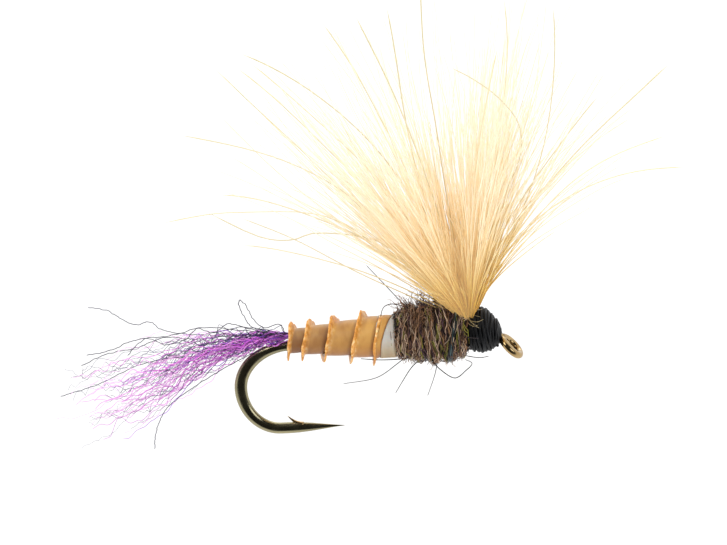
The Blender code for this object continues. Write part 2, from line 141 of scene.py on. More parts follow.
def closed_mesh(name, points, loops, counts, attributes):
    """A smooth mesh from arrays: points in millimetres, corner indices, corners a face."""
    mesh = bpy.data.meshes.new(name)
    starts = np.concatenate(([0], np.cumsum(counts)[:-1]))
    mesh.vertices.add(len(points))
    mesh.vertices.foreach_set("co", (np.asarray(points) * MM).astype(np.float32).ravel())
    mesh.loops.add(len(loops))
    mesh.loops.foreach_set("vertex_index", np.asarray(loops, np.int32))
    mesh.polygons.add(len(counts))
    mesh.polygons.foreach_set("loop_start", starts.astype(np.int32))
    mesh.polygons.foreach_set("loop_total", np.asarray(counts, np.int32))
    mesh.polygons.foreach_set("use_smooth", np.ones(len(counts), bool))
    mesh.update(calc_edges=True)
    for label, values in attributes.items():
        paint(mesh, label, values)
    mesh.validate()
    return mesh


def fibre_mesh(name, paths, radii, shades, sides=3, across=(0.31, 0.83, 0.46)):
    """Closed tapered tubes, one for each row of paths, that run to a pointed tip.

    paths is (fibres, steps, 3) and shades is (fibres,). radii is (fibres, steps), and either of
    these can be 1. across is a direction that the fibres don't run along.
    """
    fibres, steps, _ = paths.shape
    tangent = unit(np.gradient(paths, axis=1))
    first = unit(np.cross(tangent, np.asarray(across, float)))
    second = np.cross(tangent, first)
    angle = circle(sides)
    ring = (
        first[:, :, None, :] * np.cos(angle)[None, None, :, None]
        + second[:, :, None, :] * np.sin(angle)[None, None, :, None]
    )
    rings = paths[:, :, None, :] + ring * radii[:, :, None, None]
    body = rings[:, :-1].reshape(fibres, (steps - 1) * sides, 3)
    points = np.concatenate([body, paths[:, -1:, :]], axis=1)
    per_fibre = points.shape[1]

    quads = tube_quads(steps - 1, sides)
    last = (steps - 2) * sides
    tips = np.stack(
        [last + np.arange(sides), last + (np.arange(sides) + 1) % sides,
         np.full(sides, per_fibre - 1)], axis=-1)
    cap = np.arange(sides)[::-1]
    one = np.concatenate([quads.ravel(), tips.ravel(), cap])
    counts = np.concatenate([np.full(len(quads), 4), np.full(sides, 3), [sides]])
    loops = (one[None, :] + per_fibre * np.arange(fibres)[:, None]).ravel()
    along = np.repeat(np.linspace(0.0, 1.0, steps)[:-1], sides)
    along = np.concatenate([along, [1.0]])
    attributes = {
        "along": np.tile(along, fibres),
        "shade": np.repeat(shades, per_fibre),
    }
    return closed_mesh(name, points.reshape(-1, 3), loops, np.tile(counts, fibres), attributes)


def sweep_mesh(name, rings):
    """A closed solid through rows of equal rings, (rows, corners, 3), with flat end caps."""
    rows, corners, _ = rings.shape
    quads = tube_quads(rows, corners)
    start = np.arange(corners)[::-1]
    end = (rows - 1) * corners + np.arange(corners)
    loops = np.concatenate([quads.ravel(), start, end])
    counts = np.concatenate([np.full(len(quads), 4), [corners, corners]])
    along = np.repeat(np.linspace(0.0, 1.0, rows), corners)
    return closed_mesh(name, rings.reshape(-1, 3), loops, counts, {"along": along})


def lathe_rings(x, radius, axis_z, steps=96):
    """Rings of a solid turned about a line that runs along X, given from front to rear."""
    angle = circle(steps)
    x, radius, axis_z = np.broadcast_arrays(x, radius, axis_z)
    return np.stack([
        np.repeat(x[:, None], steps, axis=1),
        radius[:, None] * np.sin(angle)[None, :],
        axis_z[:, None] - radius[:, None] * np.cos(angle)[None, :]], axis=-1)


def show(name, mesh, material, slot, *replaced):
    """Put a mesh in the scene as a piece of the fly."""
    made = bpy.data.objects.new(name, mesh)
    bpy.context.scene.collection.objects.link(made)
    mesh.materials.append(material)
    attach(made, BODY)
    if replaced:
        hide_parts(*replaced)
    return made


# ---------------------------------------------------------------- materials
def rgb(text):
    """Linear RGBA from six hex digits of sRGB."""
    parts = [int(text[place:place + 2], 16) / 255 for place in (0, 2, 4)]
    linear = [part / 12.92 if part <= 0.04045 else ((part + 0.055) / 1.055) ** 2.4 for part in parts]
    return (*linear, 1.0)


def grey(value):
    return (value, value, value, 1.0)


FIBRE_DEPTH = 0.08 * MM


class Nodes:
    """A short way to write a material's node tree."""

    def __init__(self, name, **shader_values):
        self.material = bpy.data.materials.new(name)
        self.material.use_nodes = True
        self.tree = self.material.node_tree
        self.shader = self.tree.nodes["Principled BSDF"]
        for socket, value in shader_values.items():
            self.shader.inputs[socket.replace("_", " ")].default_value = value

    def add(self, kind, **settings):
        node = self.tree.nodes.new("ShaderNode" + kind)
        for key, value in settings.items():
            setattr(node, key, value)
        return node

    def link(self, out, into):
        self.tree.links.new(out, into)

    def attribute(self, label):
        return self.add("Attribute", attribute_name=label).outputs["Fac"]

    def place(self):
        return self.add("TexCoord").outputs["Object"]

    def distance(self, point, reach):
        """0 at a point of the frame, in millimetres, and 1 as far as reach from it."""
        away = self.add("VectorMath", operation="DISTANCE")
        self.link(self.place(), away.inputs[0])
        away.inputs[1].default_value = np.array(point) * MM
        share = self.add("MapRange")
        self.link(away.outputs["Value"], share.inputs["Value"])
        share.inputs["From Max"].default_value = reach * MM
        return share.outputs["Result"]

    def height(self, low, high):
        """0 to 1 between two heights of the model, in millimetres."""
        parts = self.add("SeparateXYZ")
        self.link(self.place(), parts.inputs["Vector"])
        band = self.add("MapRange")
        band.inputs["From Min"].default_value = low * MM
        band.inputs["From Max"].default_value = high * MM
        self.link(parts.outputs["Z"], band.inputs["Value"])
        return band.outputs["Result"]

    def ramp(self, factor, *stops):
        """Each stop is a place and a colour, as six hex digits of sRGB or a grey level."""
        node = self.add("ValToRGB")
        ramp = node.color_ramp
        while len(ramp.elements) < len(stops):
            ramp.elements.new(0.5)
        for element, (position, colour) in zip(ramp.elements, stops):
            element.position = position
            element.color = rgb(colour) if isinstance(colour, str) else grey(colour)
        self.link(factor, node.inputs["Fac"])
        return node.outputs["Color"]

    def noise(self, scale, detail=3.0, stretch=(1.0, 1.0, 1.0)):
        mapping = self.add("Mapping")
        mapping.inputs["Scale"].default_value = stretch
        self.link(self.place(), mapping.inputs["Vector"])
        node = self.add("TexNoise")
        node.inputs["Scale"].default_value = scale
        node.inputs["Detail"].default_value = detail
        self.link(mapping.outputs["Vector"], node.inputs["Vector"])
        return node.outputs["Fac"]

    def mix(self, factor, one, other, blend="MIX"):
        node = self.add("Mix", data_type="RGBA", blend_type=blend)
        pairs = ((node.inputs["Factor"], factor), (node.inputs[6], one), (node.inputs[7], other))
        for socket, value in pairs:
            if isinstance(value, (int, float, tuple)):
                socket.default_value = value
            else:
                self.link(value, socket)
        return node.outputs[2]

    def bump(self, height, strength, distance):
        node = self.add("Bump")
        node.inputs["Strength"].default_value = strength
        node.inputs["Distance"].default_value = distance * MM
        self.link(height, node.inputs["Height"])
        self.link(node.outputs["Normal"], self.shader.inputs["Normal"])

    def colour(self, socket):
        self.link(socket, self.shader.inputs["Base Color"])
        return self.material


def fibre_nodes(name, clear=0.0, glow=0.0, glow_tone="ffffff", **values):
    """A node tree for thin fibres.

    clear says how far light passes through the fibre, and glow is painted light: a constant emission that
    stands in for the light held between packed ones.
    """
    nodes = Nodes(
        name, Subsurface_Weight=clear, Subsurface_Scale=FIBRE_DEPTH, Emission_Color=rgb(glow_tone),
        Emission_Strength=glow, **values)
    nodes.shader.inputs["Subsurface Radius"].default_value = (1.0, 1.0, 1.0)
    return nodes


def fibre_material(name, stops, tints, **values):
    """Colour runs along each fibre by stops, and each fibre has its own tint."""
    nodes = fibre_nodes(name, **values)
    base = nodes.ramp(nodes.attribute("along"), *stops)
    base = nodes.mix(1.0, base, nodes.ramp(nodes.attribute("shade"), *tints), "MULTIPLY")
    patch = nodes.ramp(nodes.noise(900.0, 2.0), (0.35, 0.8), (0.65, 1.0))
    return nodes.colour(nodes.mix(1.0, base, patch, "MULTIPLY"))


def wire_material():
    """Polished wire: black nickel on the hook's bend, bronze at the eye."""
    nodes = Nodes("hook_metal", Metallic=1.0, Roughness=0.2)
    streaks = nodes.noise(2600.0, 4.0, (0.15, 1.0, 1.0))
    dark = nodes.ramp(streaks, (0.30, "8a846a"), (0.80, "a59d7c"))
    gold = nodes.ramp(streaks, (0.30, "a0855a"), (0.80, "bea67a"))
    rough = nodes.ramp(nodes.noise(1500.0, 3.0), (0.3, 0.13), (0.7, 0.26))
    nodes.link(rough, nodes.shader.inputs["Roughness"])
    nodes.bump(nodes.noise(5200.0, 3.0, (0.2, 1.0, 1.0)), 0.12, 0.01)
    return nodes.colour(nodes.mix(nodes.attribute("gold"), dark, gold))


def thread_material():
    nodes = Nodes("waxed_black_thread", Roughness=0.55, Specular_IOR_Level=0.3)
    twist = nodes.noise(7000.0, 2.0, (1.0, 0.25, 0.25))
    tone = nodes.ramp(twist, (0.3, "050608"), (0.6, "0c0e12"), (0.85, "1b1e24"))
    nodes.bump(twist, 0.5, 0.02)
    return nodes.colour(tone)


def rib_thread_material():
    """Two near-black strands with a paler one between them, whose pale teal is a painted highlight along
    the thread.
    """
    nodes = Nodes("teal_thread", Roughness=0.3)
    strand = nodes.ramp(
        nodes.attribute("shade"), (0.0, "080a10"), (0.4, "4a686c"), (0.6, "4a686c"),
        (1.0, "0a161c"))
    patch = nodes.ramp(nodes.noise(1300.0, 2.0), (0.38, 0.25), (0.62, 1.0))
    return nodes.colour(nodes.mix(1.0, strand, patch, "MULTIPLY"))


def floss_material():
    nodes = Nodes("white_floss", Roughness=0.55, Subsurface_Weight=0.15, Subsurface_Scale=0.0002)
    strands = nodes.noise(3000.0, 3.0, (1.0, 0.12, 0.12))
    tone = nodes.ramp(strands, (0.3, "a49f97"), (0.6, "b4b0a9"), (0.8, "c6c3bd"))
    # Painted bounce light: the white floss is tinted warm cream towards its bottom.
    low = BODY_Z - COLLAR_R
    painted_bounce_light = nodes.ramp(nodes.height(low, low + 1.3), (0.0, "e3bf86"), (0.5, "f4e2c4"), (1.0, 1.0))
    nodes.bump(strands, 0.6, 0.03)
    return nodes.colour(nodes.mix(1.0, tone, painted_bounce_light, "MULTIPLY"))


def biot_material():
    """Amber quill: brown at the rear, golden at the front, with orange on the raised rib. Painted shade
    darkens it towards the bottom and in the crease before each rib, and the rib carries painted highlights.
    """
    nodes = Nodes("amber_biot", Roughness=0.4, Subsurface_Weight=0.15, Subsurface_Scale=0.0002)
    nodes.shader.inputs["Subsurface Radius"].default_value = (1.0, 0.5, 0.2)
    base = nodes.ramp(
        nodes.attribute("along"),
        (0.0, "9c7648"), (0.25, "a87e46"), (0.55, "bc8f4a"), (1.0, "cc9c4e"))
    # Painted shade: darker and browner towards the bottom of the body.
    low = nodes.ramp(nodes.height(BODY_Z - 0.9, BODY_Z + 0.5), (0.0, "cca070"), (1.0, 1.0))
    base = nodes.mix(0.8, base, low, "MULTIPLY")
    blotch = nodes.ramp(nodes.noise(1500.0, 4.0, (1.0, 0.5, 0.5)), (0.36, "a87450"), (0.56, 1.0))
    base = nodes.mix(0.4, base, blotch, "MULTIPLY")
    # Painted shadow: the strip's front edge, tucked under the next turn's rib, is darkened.
    painted_crease_shadow = nodes.ramp(nodes.attribute("across"), (0.0, 1.0), (0.75, 1.0), (1.0, "7c4c2c"))
    base = nodes.mix(0.8, base, painted_crease_shadow, "MULTIPLY")
    grain = nodes.noise(5200.0, 3.0, (1.0, 0.2, 0.2))
    # The rib is orange, and its pale noise spots are painted highlights.
    rib = nodes.ramp(nodes.noise(4200.0, 2.0), (0.35, "c07e2e"), (0.52, "dc9c46"), (0.72, "f2d29a"))
    nodes.bump(grain, 0.35, 0.02)
    return nodes.colour(nodes.mix(nodes.attribute("rib"), base, rib))


def fur_core_shade_material():
    nodes = Nodes("dubbing_core_painted_shade", Roughness=0.95)
    # Painted shade: near-black brown for the shade deep between the hairs.
    tone = nodes.ramp(nodes.noise(2600.0, 5.0), (0.3, "1a110d"), (0.55, "35241b"), (0.8, "523c2c"))
    nodes.bump(nodes.noise(3800.0, 4.0), 0.9, 0.06)
    return nodes.colour(tone)


# ---------------------------------------------------------------- hook
EYE_R = 0.60
EYE_WIRE_R = 0.19
EYE_TILT = math.radians(48.0)
BEND_LOW_X = -11.90
SPEAR_LENGTH = 3.22
WIRE_R = 0.25
BEND_R = 0.325
SPEAR_Z = HOOK_LOW[2] + 0.30
BARB_ROOT = np.array((-10.78, 0.0, SPEAR_Z + 0.14))
BARB_TIP = np.array((-11.54, 0.0, SPEAR_Z + 0.64))
RING_SIDE = np.array((-math.cos(EYE_TILT), 0.0, math.sin(EYE_TILT)))
RING_AXIS = np.array((math.sin(EYE_TILT), 0.0, math.cos(EYE_TILT)))
SIDEWAYS = np.array((0.0, 1.0, 0.0))


def eye_point(degrees):
    angle = math.radians(degrees)
    return EYE_R * (RING_SIDE * math.cos(angle) + SIDEWAYS * math.sin(angle))


def hook_stations():
    """Centre line from the eye loop's end, round the eye, down the shank and bend to the point.

    Each station is a point, half the height of the wire and half its thickness across.
    """
    rear_x = HOOK_LOW[0] + BEND_R
    shank_rear = THREAD_LOW[0] - 0.05
    bend_z = (SHANK_Z + SPEAR_Z) / 2 - 0.05
    stations = []
    for degrees in np.linspace(346.0, 28.0, 64):
        stations.append((*eye_point(degrees), EYE_WIRE_R, EYE_WIRE_R))
    neck = through([eye_point(28.0), eye_point(6.0) + (-0.10, 0.0, 0.02), (-0.80, 0.0, SHANK_Z)], 12)
    for share, place in zip(np.linspace(0.0, 1.0, 12), neck):
        radius = EYE_WIRE_R + (WIRE_R - EYE_WIRE_R) * smooth(share)
        stations.append((*place, radius, radius))
    for x in np.linspace(-1.1, shank_rear, 40):
        stations.append((x, 0.0, SHANK_Z, WIRE_R, WIRE_R))
    for turn in np.linspace(0.0, math.pi / 2, 49)[1:]:
        grow = smooth(turn)
        x = shank_rear - (shank_rear - rear_x) * math.sin(turn)
        z = bend_z + (SHANK_Z - bend_z) * math.cos(turn)
        stations.append((x, 0.0, z, WIRE_R + (BEND_R - WIRE_R) * grow, WIRE_R - 0.035 * grow))
    for turn in np.linspace(0.0, math.pi / 2, 41)[1:]:
        x = BEND_LOW_X - (BEND_LOW_X - rear_x) * math.cos(turn)
        z = bend_z - (bend_z - SPEAR_Z) * math.sin(turn)
        stations.append((x, 0.0, z, BEND_R - 0.02 * turn, 0.215 + 0.02 * turn))
    for share in np.linspace(0.03, 1.0, 40):
        taper = 1.0 - smooth((share - 0.12) / 0.88) * 0.62 - 0.34 * share ** 3
        x = BEND_LOW_X + SPEAR_LENGTH * share
        stations.append((x, 0.0, SPEAR_Z - 0.01 * share, 0.293 * taper, 0.246 * taper))
    stations = np.array(stations)
    for _ in range(3):
        stations[1:-1] = 0.25 * stations[:-2] + 0.5 * stations[1:-1] + 0.25 * stations[2:]
    return stations


def barb_mesh():
    """The thin sliver cut up from the spear."""
    angle = circle(10)
    rings = []
    for share in np.linspace(0.0, 1.0, 9):
        middle = BARB_ROOT + (BARB_TIP - BARB_ROOT) * share
        middle[2] -= 0.10 * math.sin(math.pi * share)
        high = 0.13 * (1.0 - share) ** 0.8 + 0.012
        thick = 0.15 * (1.0 - share) ** 0.9 + 0.012
        ring = np.stack([0.35 * high * np.cos(angle), thick * np.sin(angle), high * np.cos(angle)], axis=-1)
        rings.append(middle + ring)
    return sweep_mesh("barb", np.array(rings))


def make_hook():
    stations = hook_stations()
    points = stations[:, :3]
    tangent = unit(np.gradient(points, axis=0))
    in_eye = smooth(1.0 - (np.arange(len(points)) - 60) / 14.0)[:, None]
    reference = unit(SIDEWAYS * (1.0 - in_eye) + RING_AXIS * in_eye)
    up = unit(np.cross(reference, tangent))
    out = np.cross(tangent, up)
    angle = circle(24)
    rings = (
        points[:, None, :]
        + up[:, None, :] * (stations[:, 3, None] * np.cos(angle))[:, :, None]
        + out[:, None, :] * (stations[:, 4, None] * np.sin(angle))[:, :, None]
    )
    mesh = sweep_mesh("hook_wire", rings)
    hook = show("hook_wire", mesh, wire_material(), "hook_wire", "hook")
    paint(mesh, "gold", smooth((rings[:, :, 0].ravel() + 1.2) / 0.4))
    barb = bpy.data.objects.new("barb", barb_mesh())
    bpy.context.scene.collection.objects.link(barb)
    join = hook.modifiers.new("barb", "BOOLEAN")
    join.operation = "UNION"
    join.object = barb
    graph = bpy.context.evaluated_depsgraph_get()
    hook.data = bpy.data.meshes.new_from_object(hook.evaluated_get(graph))
    hook.modifiers.clear()
    bpy.data.objects.remove(barb)


# ---------------------------------------------------------------- abdomen
STRIP_TURNS = 4.5
STRIP_STEPS = 150
# Turns wound so far, and where the strip's rear edge is then.
STRIP_EDGE = (
    (0.0, -11.25), (0.5, -10.92), (1.0, -10.53), (1.5, -10.06), (2.0, -9.47), (2.5, -8.82),
    (3.0, -8.13), (3.5, -7.38), (4.0, -6.90), (4.25, -6.74), (4.5, -6.36), (4.75, -6.50),
    (5.0, -6.62), (5.25, -6.40), (5.5, -5.84))
BODY_REAR_R = 0.548
BODY_SLOPE = 0.113
STRIP_STEP = 0.10
FLOSS_REAR_X = -10.95


def body_radius(x):
    return BODY_REAR_R + BODY_SLOPE * (x - BODY_REAR_X)


def strip_edge(turn):
    """Where the strip's rear edge lies along the hook, by the turns wound so far."""
    fine = np.linspace(0.0, STRIP_TURNS + 1.0, 400)
    turns, places = zip(*STRIP_EDGE)
    coarse = np.interp(fine, turns, places)
    for _ in range(10):
        coarse[1:-1] = 0.25 * coarse[:-2] + 0.5 * coarse[1:-1] + 0.25 * coarse[2:]
    return np.interp(turn, fine, coarse)


def make_strip():
    """One quill strip wound forwards, each turn's raised and ragged rear edge left standing."""
    rng = np.random.default_rng(21)
    count = int(STRIP_TURNS * STRIP_STEPS) + 1
    turn = np.linspace(0.0, STRIP_TURNS, count)
    rear = strip_edge(turn)
    front = strip_edge(turn + 1.0) + 0.02
    rag = waves(rng, 1, count, 42)[0] * 0.06 + waves(rng, 1, count, 150)[0] * 0.05
    height = (0.30 + 0.06 * np.cos(2 * math.tau * turn) + rag) * smooth((STRIP_TURNS + 0.05 - turn) / 0.45)
    lean = -0.05 + 0.07 * waves(rng, 1, count, 16)[0]
    width = front - rear
    angle = math.tau * turn
    outward = np.stack([np.zeros_like(angle), -np.sin(angle), -np.cos(angle)], axis=-1)
    centre = np.array((0.0, 0.0, BODY_Z))
    rows = []
    ribs = []
    across = []

    def corner(x, lift, rib, share, least=0.0):
        point = centre + outward * np.maximum(body_radius(x) + lift, least)[:, None]
        point[:, 0] += x
        rows.append(point)
        ribs.append(rib)
        across.append(share)

    corner(rear, np.full(count, -0.07), 0.0, 0.0)
    corner(front, np.full(count, -0.12), 0.0, 1.0)
    for share in (1.0, 0.92, 0.8, 0.6, 0.4, 0.25):
        bulge = 0.5 * STRIP_STEP - STRIP_STEP * share + 0.03 * math.sin(math.pi * share)
        x = rear + width * share
        corner(x, np.full(count, bulge), 0.0, share, (COLLAR_R + 0.03) * smooth((x + 6.8) / 0.3))
    for share, thick in ((0.1, 0.13), (0.4, 0.105), (0.8, 0.085), (1.0, 0.05)):
        corner(rear + lean * share + thick, height * share + 0.03, 0.5 + 0.5 * share, 0.0)
    for share in (1.0, 0.8, 0.4):
        corner(rear + lean * share, height * share + 0.02, 0.5 + 0.5 * share, 0.0)
    mesh = sweep_mesh("biot_wraps", np.stack(rows, axis=1))
    paint(mesh, "rib", np.tile(ribs, count))
    paint(mesh, "across", np.tile(across, count))
    show("biot_wraps", mesh, biot_material(), "amber_biot", "biot_strip")


def make_underbody():
    x = np.linspace(COLLAR_FRONT_X, FLOSS_REAR_X, 170)
    inner = body_radius(x) - 0.10
    in_collar = smooth((x + 6.75) / 0.25)
    strands = 0.012 * np.sin(x * 90.0)
    radius = inner * (1.0 - in_collar) + (COLLAR_R + strands) * in_collar
    radius = radius - 0.10 * smooth((x - COLLAR_FRONT_X + 0.12) / 0.12)
    x = np.concatenate([[COLLAR_FRONT_X], x, [FLOSS_REAR_X]])
    radius = np.concatenate([[0.32], radius, [0.36]])
    show("floss_underbody", sweep_mesh("floss_underbody", lathe_rings(x, radius, BODY_Z)),
         floss_material(), "white_floss", "underbody")


# ---------------------------------------------------------------- trailing shuck
TIE_X = BODY_REAR_X + 0.20
SHUCK_STEPS = 110
SHUCK_EDGES = (
    (0.0, 1.02, 1.26), (1.5, 0.76, 1.30), (2.4, 0.20, 1.34), (3.6, -0.35, 1.38), (4.4, -0.85, 1.36),
    (5.6, -1.75, 1.24), (7.0, -3.10, 1.00), (8.8, -4.20, 0.60), (11.2, -4.90, 0.10), (13.0, -5.20, -0.40))


def beside_hook(path, clear):
    """Moves a path sideways where it would run through the hook's wire."""
    stations = hook_stations()
    bend = stations[stations[:, 0] < TIE_X][:, [0, 2]]
    gap = np.linalg.norm(path[:, :, None, [0, 2]] - bend, axis=-1).min(axis=-1)
    side = np.where(path[:, -1:, 1] < 0.0, -1.0, 1.0)
    path[:, :, 1] = side * np.maximum(side * path[:, :, 1], clear * smooth((0.46 - gap) / 0.12))
    return path


def shuck_paths(rng, count, reach, crinkle):
    """Crinkled paths that leave the body in a bundle and spread between the shuck's two edges.

    Each row of the edges is a distance behind the tie, then the lowest and highest fibre there.
    """
    share = np.linspace(0.0, 1.0, SHUCK_STEPS)[None, :]
    lane = rng.beta(1.9, 1.3, (count, 1))
    length = rng.uniform(*reach, (count, 1)) * (0.82 + 0.18 * smooth(lane / 0.4))
    behind = length * share
    places, lows, highs = zip(*SHUCK_EDGES)
    low = np.interp(behind, places, lows)
    high = np.interp(behind, places, highs)
    lane = lane + 0.15 * waves(rng, count, SHUCK_STEPS, 1.3) * share
    side = rng.uniform(-1.0, 1.0, (count, 1)) + 0.2 * waves(rng, count, SHUCK_STEPS, 1.2) * share
    path = np.stack([TIE_X - behind, side * (0.14 + 0.10 * behind), low + (high - low) * lane], axis=-1)
    curl = crinkle * rng.lognormal(0.0, 0.4, (count, 1)) * smooth(behind / 1.2)
    for axis, amount in ((0, 0.4), (1, 1.0), (2, 1.0)):
        for cycles, size in ((0.35, 0.10), (0.8, 0.06), (1.7, 0.03)):
            phase = rng.uniform(0.0, math.tau, (count, 1))
            rate = cycles * rng.uniform(0.6, 1.4, (count, 1))
            warp = 0.5 * waves(rng, count, SHUCK_STEPS, 2.0)
            path[:, :, axis] += curl * amount * size * np.sin(math.tau * rate * behind + phase + warp)
    return beside_hook(path, 0.34)


SHUCK_STRAYS = (
    ((-11.3, 0.0, 1.3), (-11.5, -0.1, 1.8), (-12.3, -0.2, 1.7), (-12.8, -0.2, 2.2), (-13.1, 0.0, 2.8),
     (-13.4, 0.1, 3.1), (-13.5, 0.2, 2.8), (-13.2, 0.2, 2.0), (-12.9, 0.2, 1.6), (-12.3, 0.2, 1.4)),
    ((-11.3, 0.2, 1.2), (-13.4, 0.3, 1.6), (-15.6, 0.4, 1.3), (-17.4, 0.4, 1.6), (-18.1, 0.4, 2.1),
     (-18.9, 0.4, 2.0), (-19.7, 0.3, 2.5), (-20.2, 0.2, 2.9), (-21.2, 0.3, 3.1)),
    ((-11.3, -0.2, 1.2), (-13.0, -0.3, 1.7), (-14.0, -0.5, 2.1), (-14.8, -0.6, 1.7), (-15.6, -0.7, 2.0),
     (-16.2, -0.8, 1.5), (-17.2, -0.9, 1.3), (-18.2, -1.0, 1.7), (-19.2, -1.1, 0.9)),
    ((-11.3, -0.3, 1.0), (-13.4, -0.6, 0.3), (-15.6, -0.8, -0.8), (-17.3, -0.9, -1.9), (-17.9, -1.0, -2.7),
     (-18.2, -1.0, -3.5), (-18.3, -1.0, -4.2)),
    ((-11.3, 0.1, 1.2), (-13.4, 0.1, 1.5), (-15.4, 0.0, 1.8), (-17.0, -0.1, 1.5), (-18.8, -0.2, 1.4),
     (-20.2, -0.2, 0.9), (-21.4, -0.2, 0.7)),
    ((-11.3, 0.0, 1.2), (-13.8, 0.3, 1.2), (-15.9, 0.6, 1.0), (-17.5, 0.8, 1.1), (-19.0, 0.9, 0.6),
     (-20.6, 1.0, 0.3), (-22.0, 1.1, -0.3)),
    ((-11.3, 0.3, 1.0), (-13.9, 0.8, 0.7), (-16.6, 1.4, -0.1), (-19.1, 2.0, -0.7), (-21.5, 2.7, -1.9),
     (-23.6, 3.1, -2.6)),
)
SHUCK_GROUPS = (
    ("shuck_magenta", 5, 18, (7.0, 11.5), 0.9, (0.026, 0.040),
     ("401484", "ba3ccc", "f484ea", "fcb8f2"), 0.13),
    ("shuck_violet", 6, 12, (5.5, 11.0), 1.0, (0.020, 0.030),
     ("30208c", "7030c8", "a85ce4", "d498f0"), 0.04),
    ("shuck_slate", 7, 38, (6.0, 12.2), 1.7, (0.014, 0.022),
     ("140e2c", "241e40", "302e4e", "504e6a"), 0.0),
    ("shuck_lilac", 8, 20, (7.0, 12.4), 1.3, (0.020, 0.032),
     ("6c2ca4", "ea88ea", "fcb8f2", "fcd0f4"), 0.14),
)
STRAY_STEPS = 140


def make_shuck_locks():
    """Each group is a name, seed, fibre count, lengths, crinkle, radii, four tones and a glow, which is
    painted light: an emission for the light held in the bundle.
    """
    locks = nodes_named("shuck_lock")
    for number, (name, seed, count, reach, crinkle, size, tones, glow) in enumerate(SHUCK_GROUPS):
        rng = np.random.default_rng(seed)
        paths = shuck_paths(rng, count, reach, crinkle)
        radii = rng.uniform(*size, (count, 1)) * np.linspace(1.0, 0.65, SHUCK_STEPS)[None, :]
        material = fibre_material(
            name, tuple(zip((0.0, 0.16, 0.6, 1.0), tones)), ((0.0, "b4a8c4"), (1.0, 1.0)),
            clear=0.6, glow=glow, glow_tone="f490e8", Roughness=0.35)
        show(name, fibre_mesh(name, paths, radii, rng.uniform(0, 1, count)), material,
             "purple_antron", *locks[number::len(SHUCK_GROUPS)])


def make_shuck_strays():
    rng = np.random.default_rng(9)
    paths = np.array([through(points, STRAY_STEPS) for points in SHUCK_STRAYS])
    paths += 0.03 * np.stack([waves(rng, len(paths), STRAY_STEPS, 22) for _ in range(3)], axis=-1)
    radii = np.array([[0.024]])
    stops = ((0.0, "241a3c"), (0.4, "3c3854"), (1.0, "55536a"))
    material = fibre_material("shuck_strays", stops, ((0.0, "c0c0c0"), (1.0, 1.0)), Roughness=0.4)
    show("shuck_strays", fibre_mesh("shuck_strays", paths, radii, rng.uniform(0, 1, len(paths))),
         material, "purple_antron", *nodes_named("shuck_stray"))


# ---------------------------------------------------------------- thorax
# Places along the hook, and the fur's radius there.
FUR_OUTLINE = (
    (-5.85, 0.98), (-5.60, 1.16), (-5.20, 1.34), (-4.50, 1.47), (-3.80, 1.54), (-2.90, 1.50),
    (-2.40, 1.30), (-2.05, 1.02))
COIL_PITCH = 0.78


def fur_radius(x, angle):
    """The fur's surface, from the white collar to the head, swelling over each wrap below."""
    places, radii = zip(*FUR_OUTLINE)
    swell = np.cos(math.tau * x / COIL_PITCH - angle)
    return np.interp(x, places, radii) + 0.055 * swell


def round_thorax(x, angle, radius):
    return np.stack([x, -radius * np.sin(angle), THORAX_Z - radius * np.cos(angle)], axis=-1)


def fur_paths(rng, locks, each, steps, depth, lift):
    """Curly hairs in small locks that follow the winding, with tail ends that lift off."""
    share = np.linspace(0.0, 1.0, steps)[None, :]
    x = rng.uniform(FUR_OUTLINE[0][0] + 0.04, FUR_OUTLINE[-1][0] - 0.04, (locks, 1))
    start = rng.uniform(0.0, math.tau, (locks, 1))
    sweep = rng.uniform(0.35, 1.5, (locks, 1)) * rng.choice((-1.0, 1.0), (locks, 1))
    slant = rng.normal(0.0, 0.18, (locks, 1))
    bend = rng.normal(0.0, 0.13, (locks, 1))
    bow = bend * np.sin(math.pi * share)
    place = x + slant * (share - 0.5) + bow + 0.07 * waves(rng, locks, steps, 2.0)
    angle = start + sweep * share
    deep = rng.uniform(*depth, (locks, 1)) + 0.05 * waves(rng, locks, steps, 1.6)

    place, angle, deep = (np.repeat(rows, each, axis=0) for rows in (place, angle, deep))
    count = locks * each
    spread = 0.4 + 1.4 * share ** 2
    place = place + rng.normal(0.0, 0.035, (count, 1)) * spread + 0.025 * waves(rng, count, steps, 2.6)
    place = np.clip(place, FUR_OUTLINE[0][0] - 0.02, FUR_OUTLINE[-1][0] + 0.04)
    angle = angle + rng.normal(0.0, 0.06, (count, 1)) + 0.04 * waves(rng, count, steps, 2.0)
    deep = deep + rng.normal(0.0, 0.022, (count, 1)) * spread + 0.02 * waves(rng, count, steps, 3.0)
    rise = rng.exponential(lift, (count, 1)) * smooth((share - 0.5) / 0.5) ** 1.5
    return round_thorax(place, angle, fur_radius(place, angle) + deep + rise)


def loose_paths(rng, count, steps, x_range, angles, length, lean):
    """Hair ends that stand away from the fur, bending to the rear."""
    x = rng.uniform(*x_range, (count, 1))
    angle = rng.uniform(*angles, (count, 1))
    share = np.linspace(0.0, 1.0, steps)[None, :]
    size = rng.uniform(*length, (count, 1))
    place = x - size * lean * share ** 1.4 + 0.24 * size * waves(rng, count, steps, 1.6) * share
    turned = angle + rng.normal(0.0, 0.35, (count, 1)) * share
    turned = turned + 0.16 * waves(rng, count, steps, 1.6) * share
    radius = fur_radius(x, angle) - 0.12 + size * (share - 0.25 * share ** 2)
    return round_thorax(place, turned, radius)


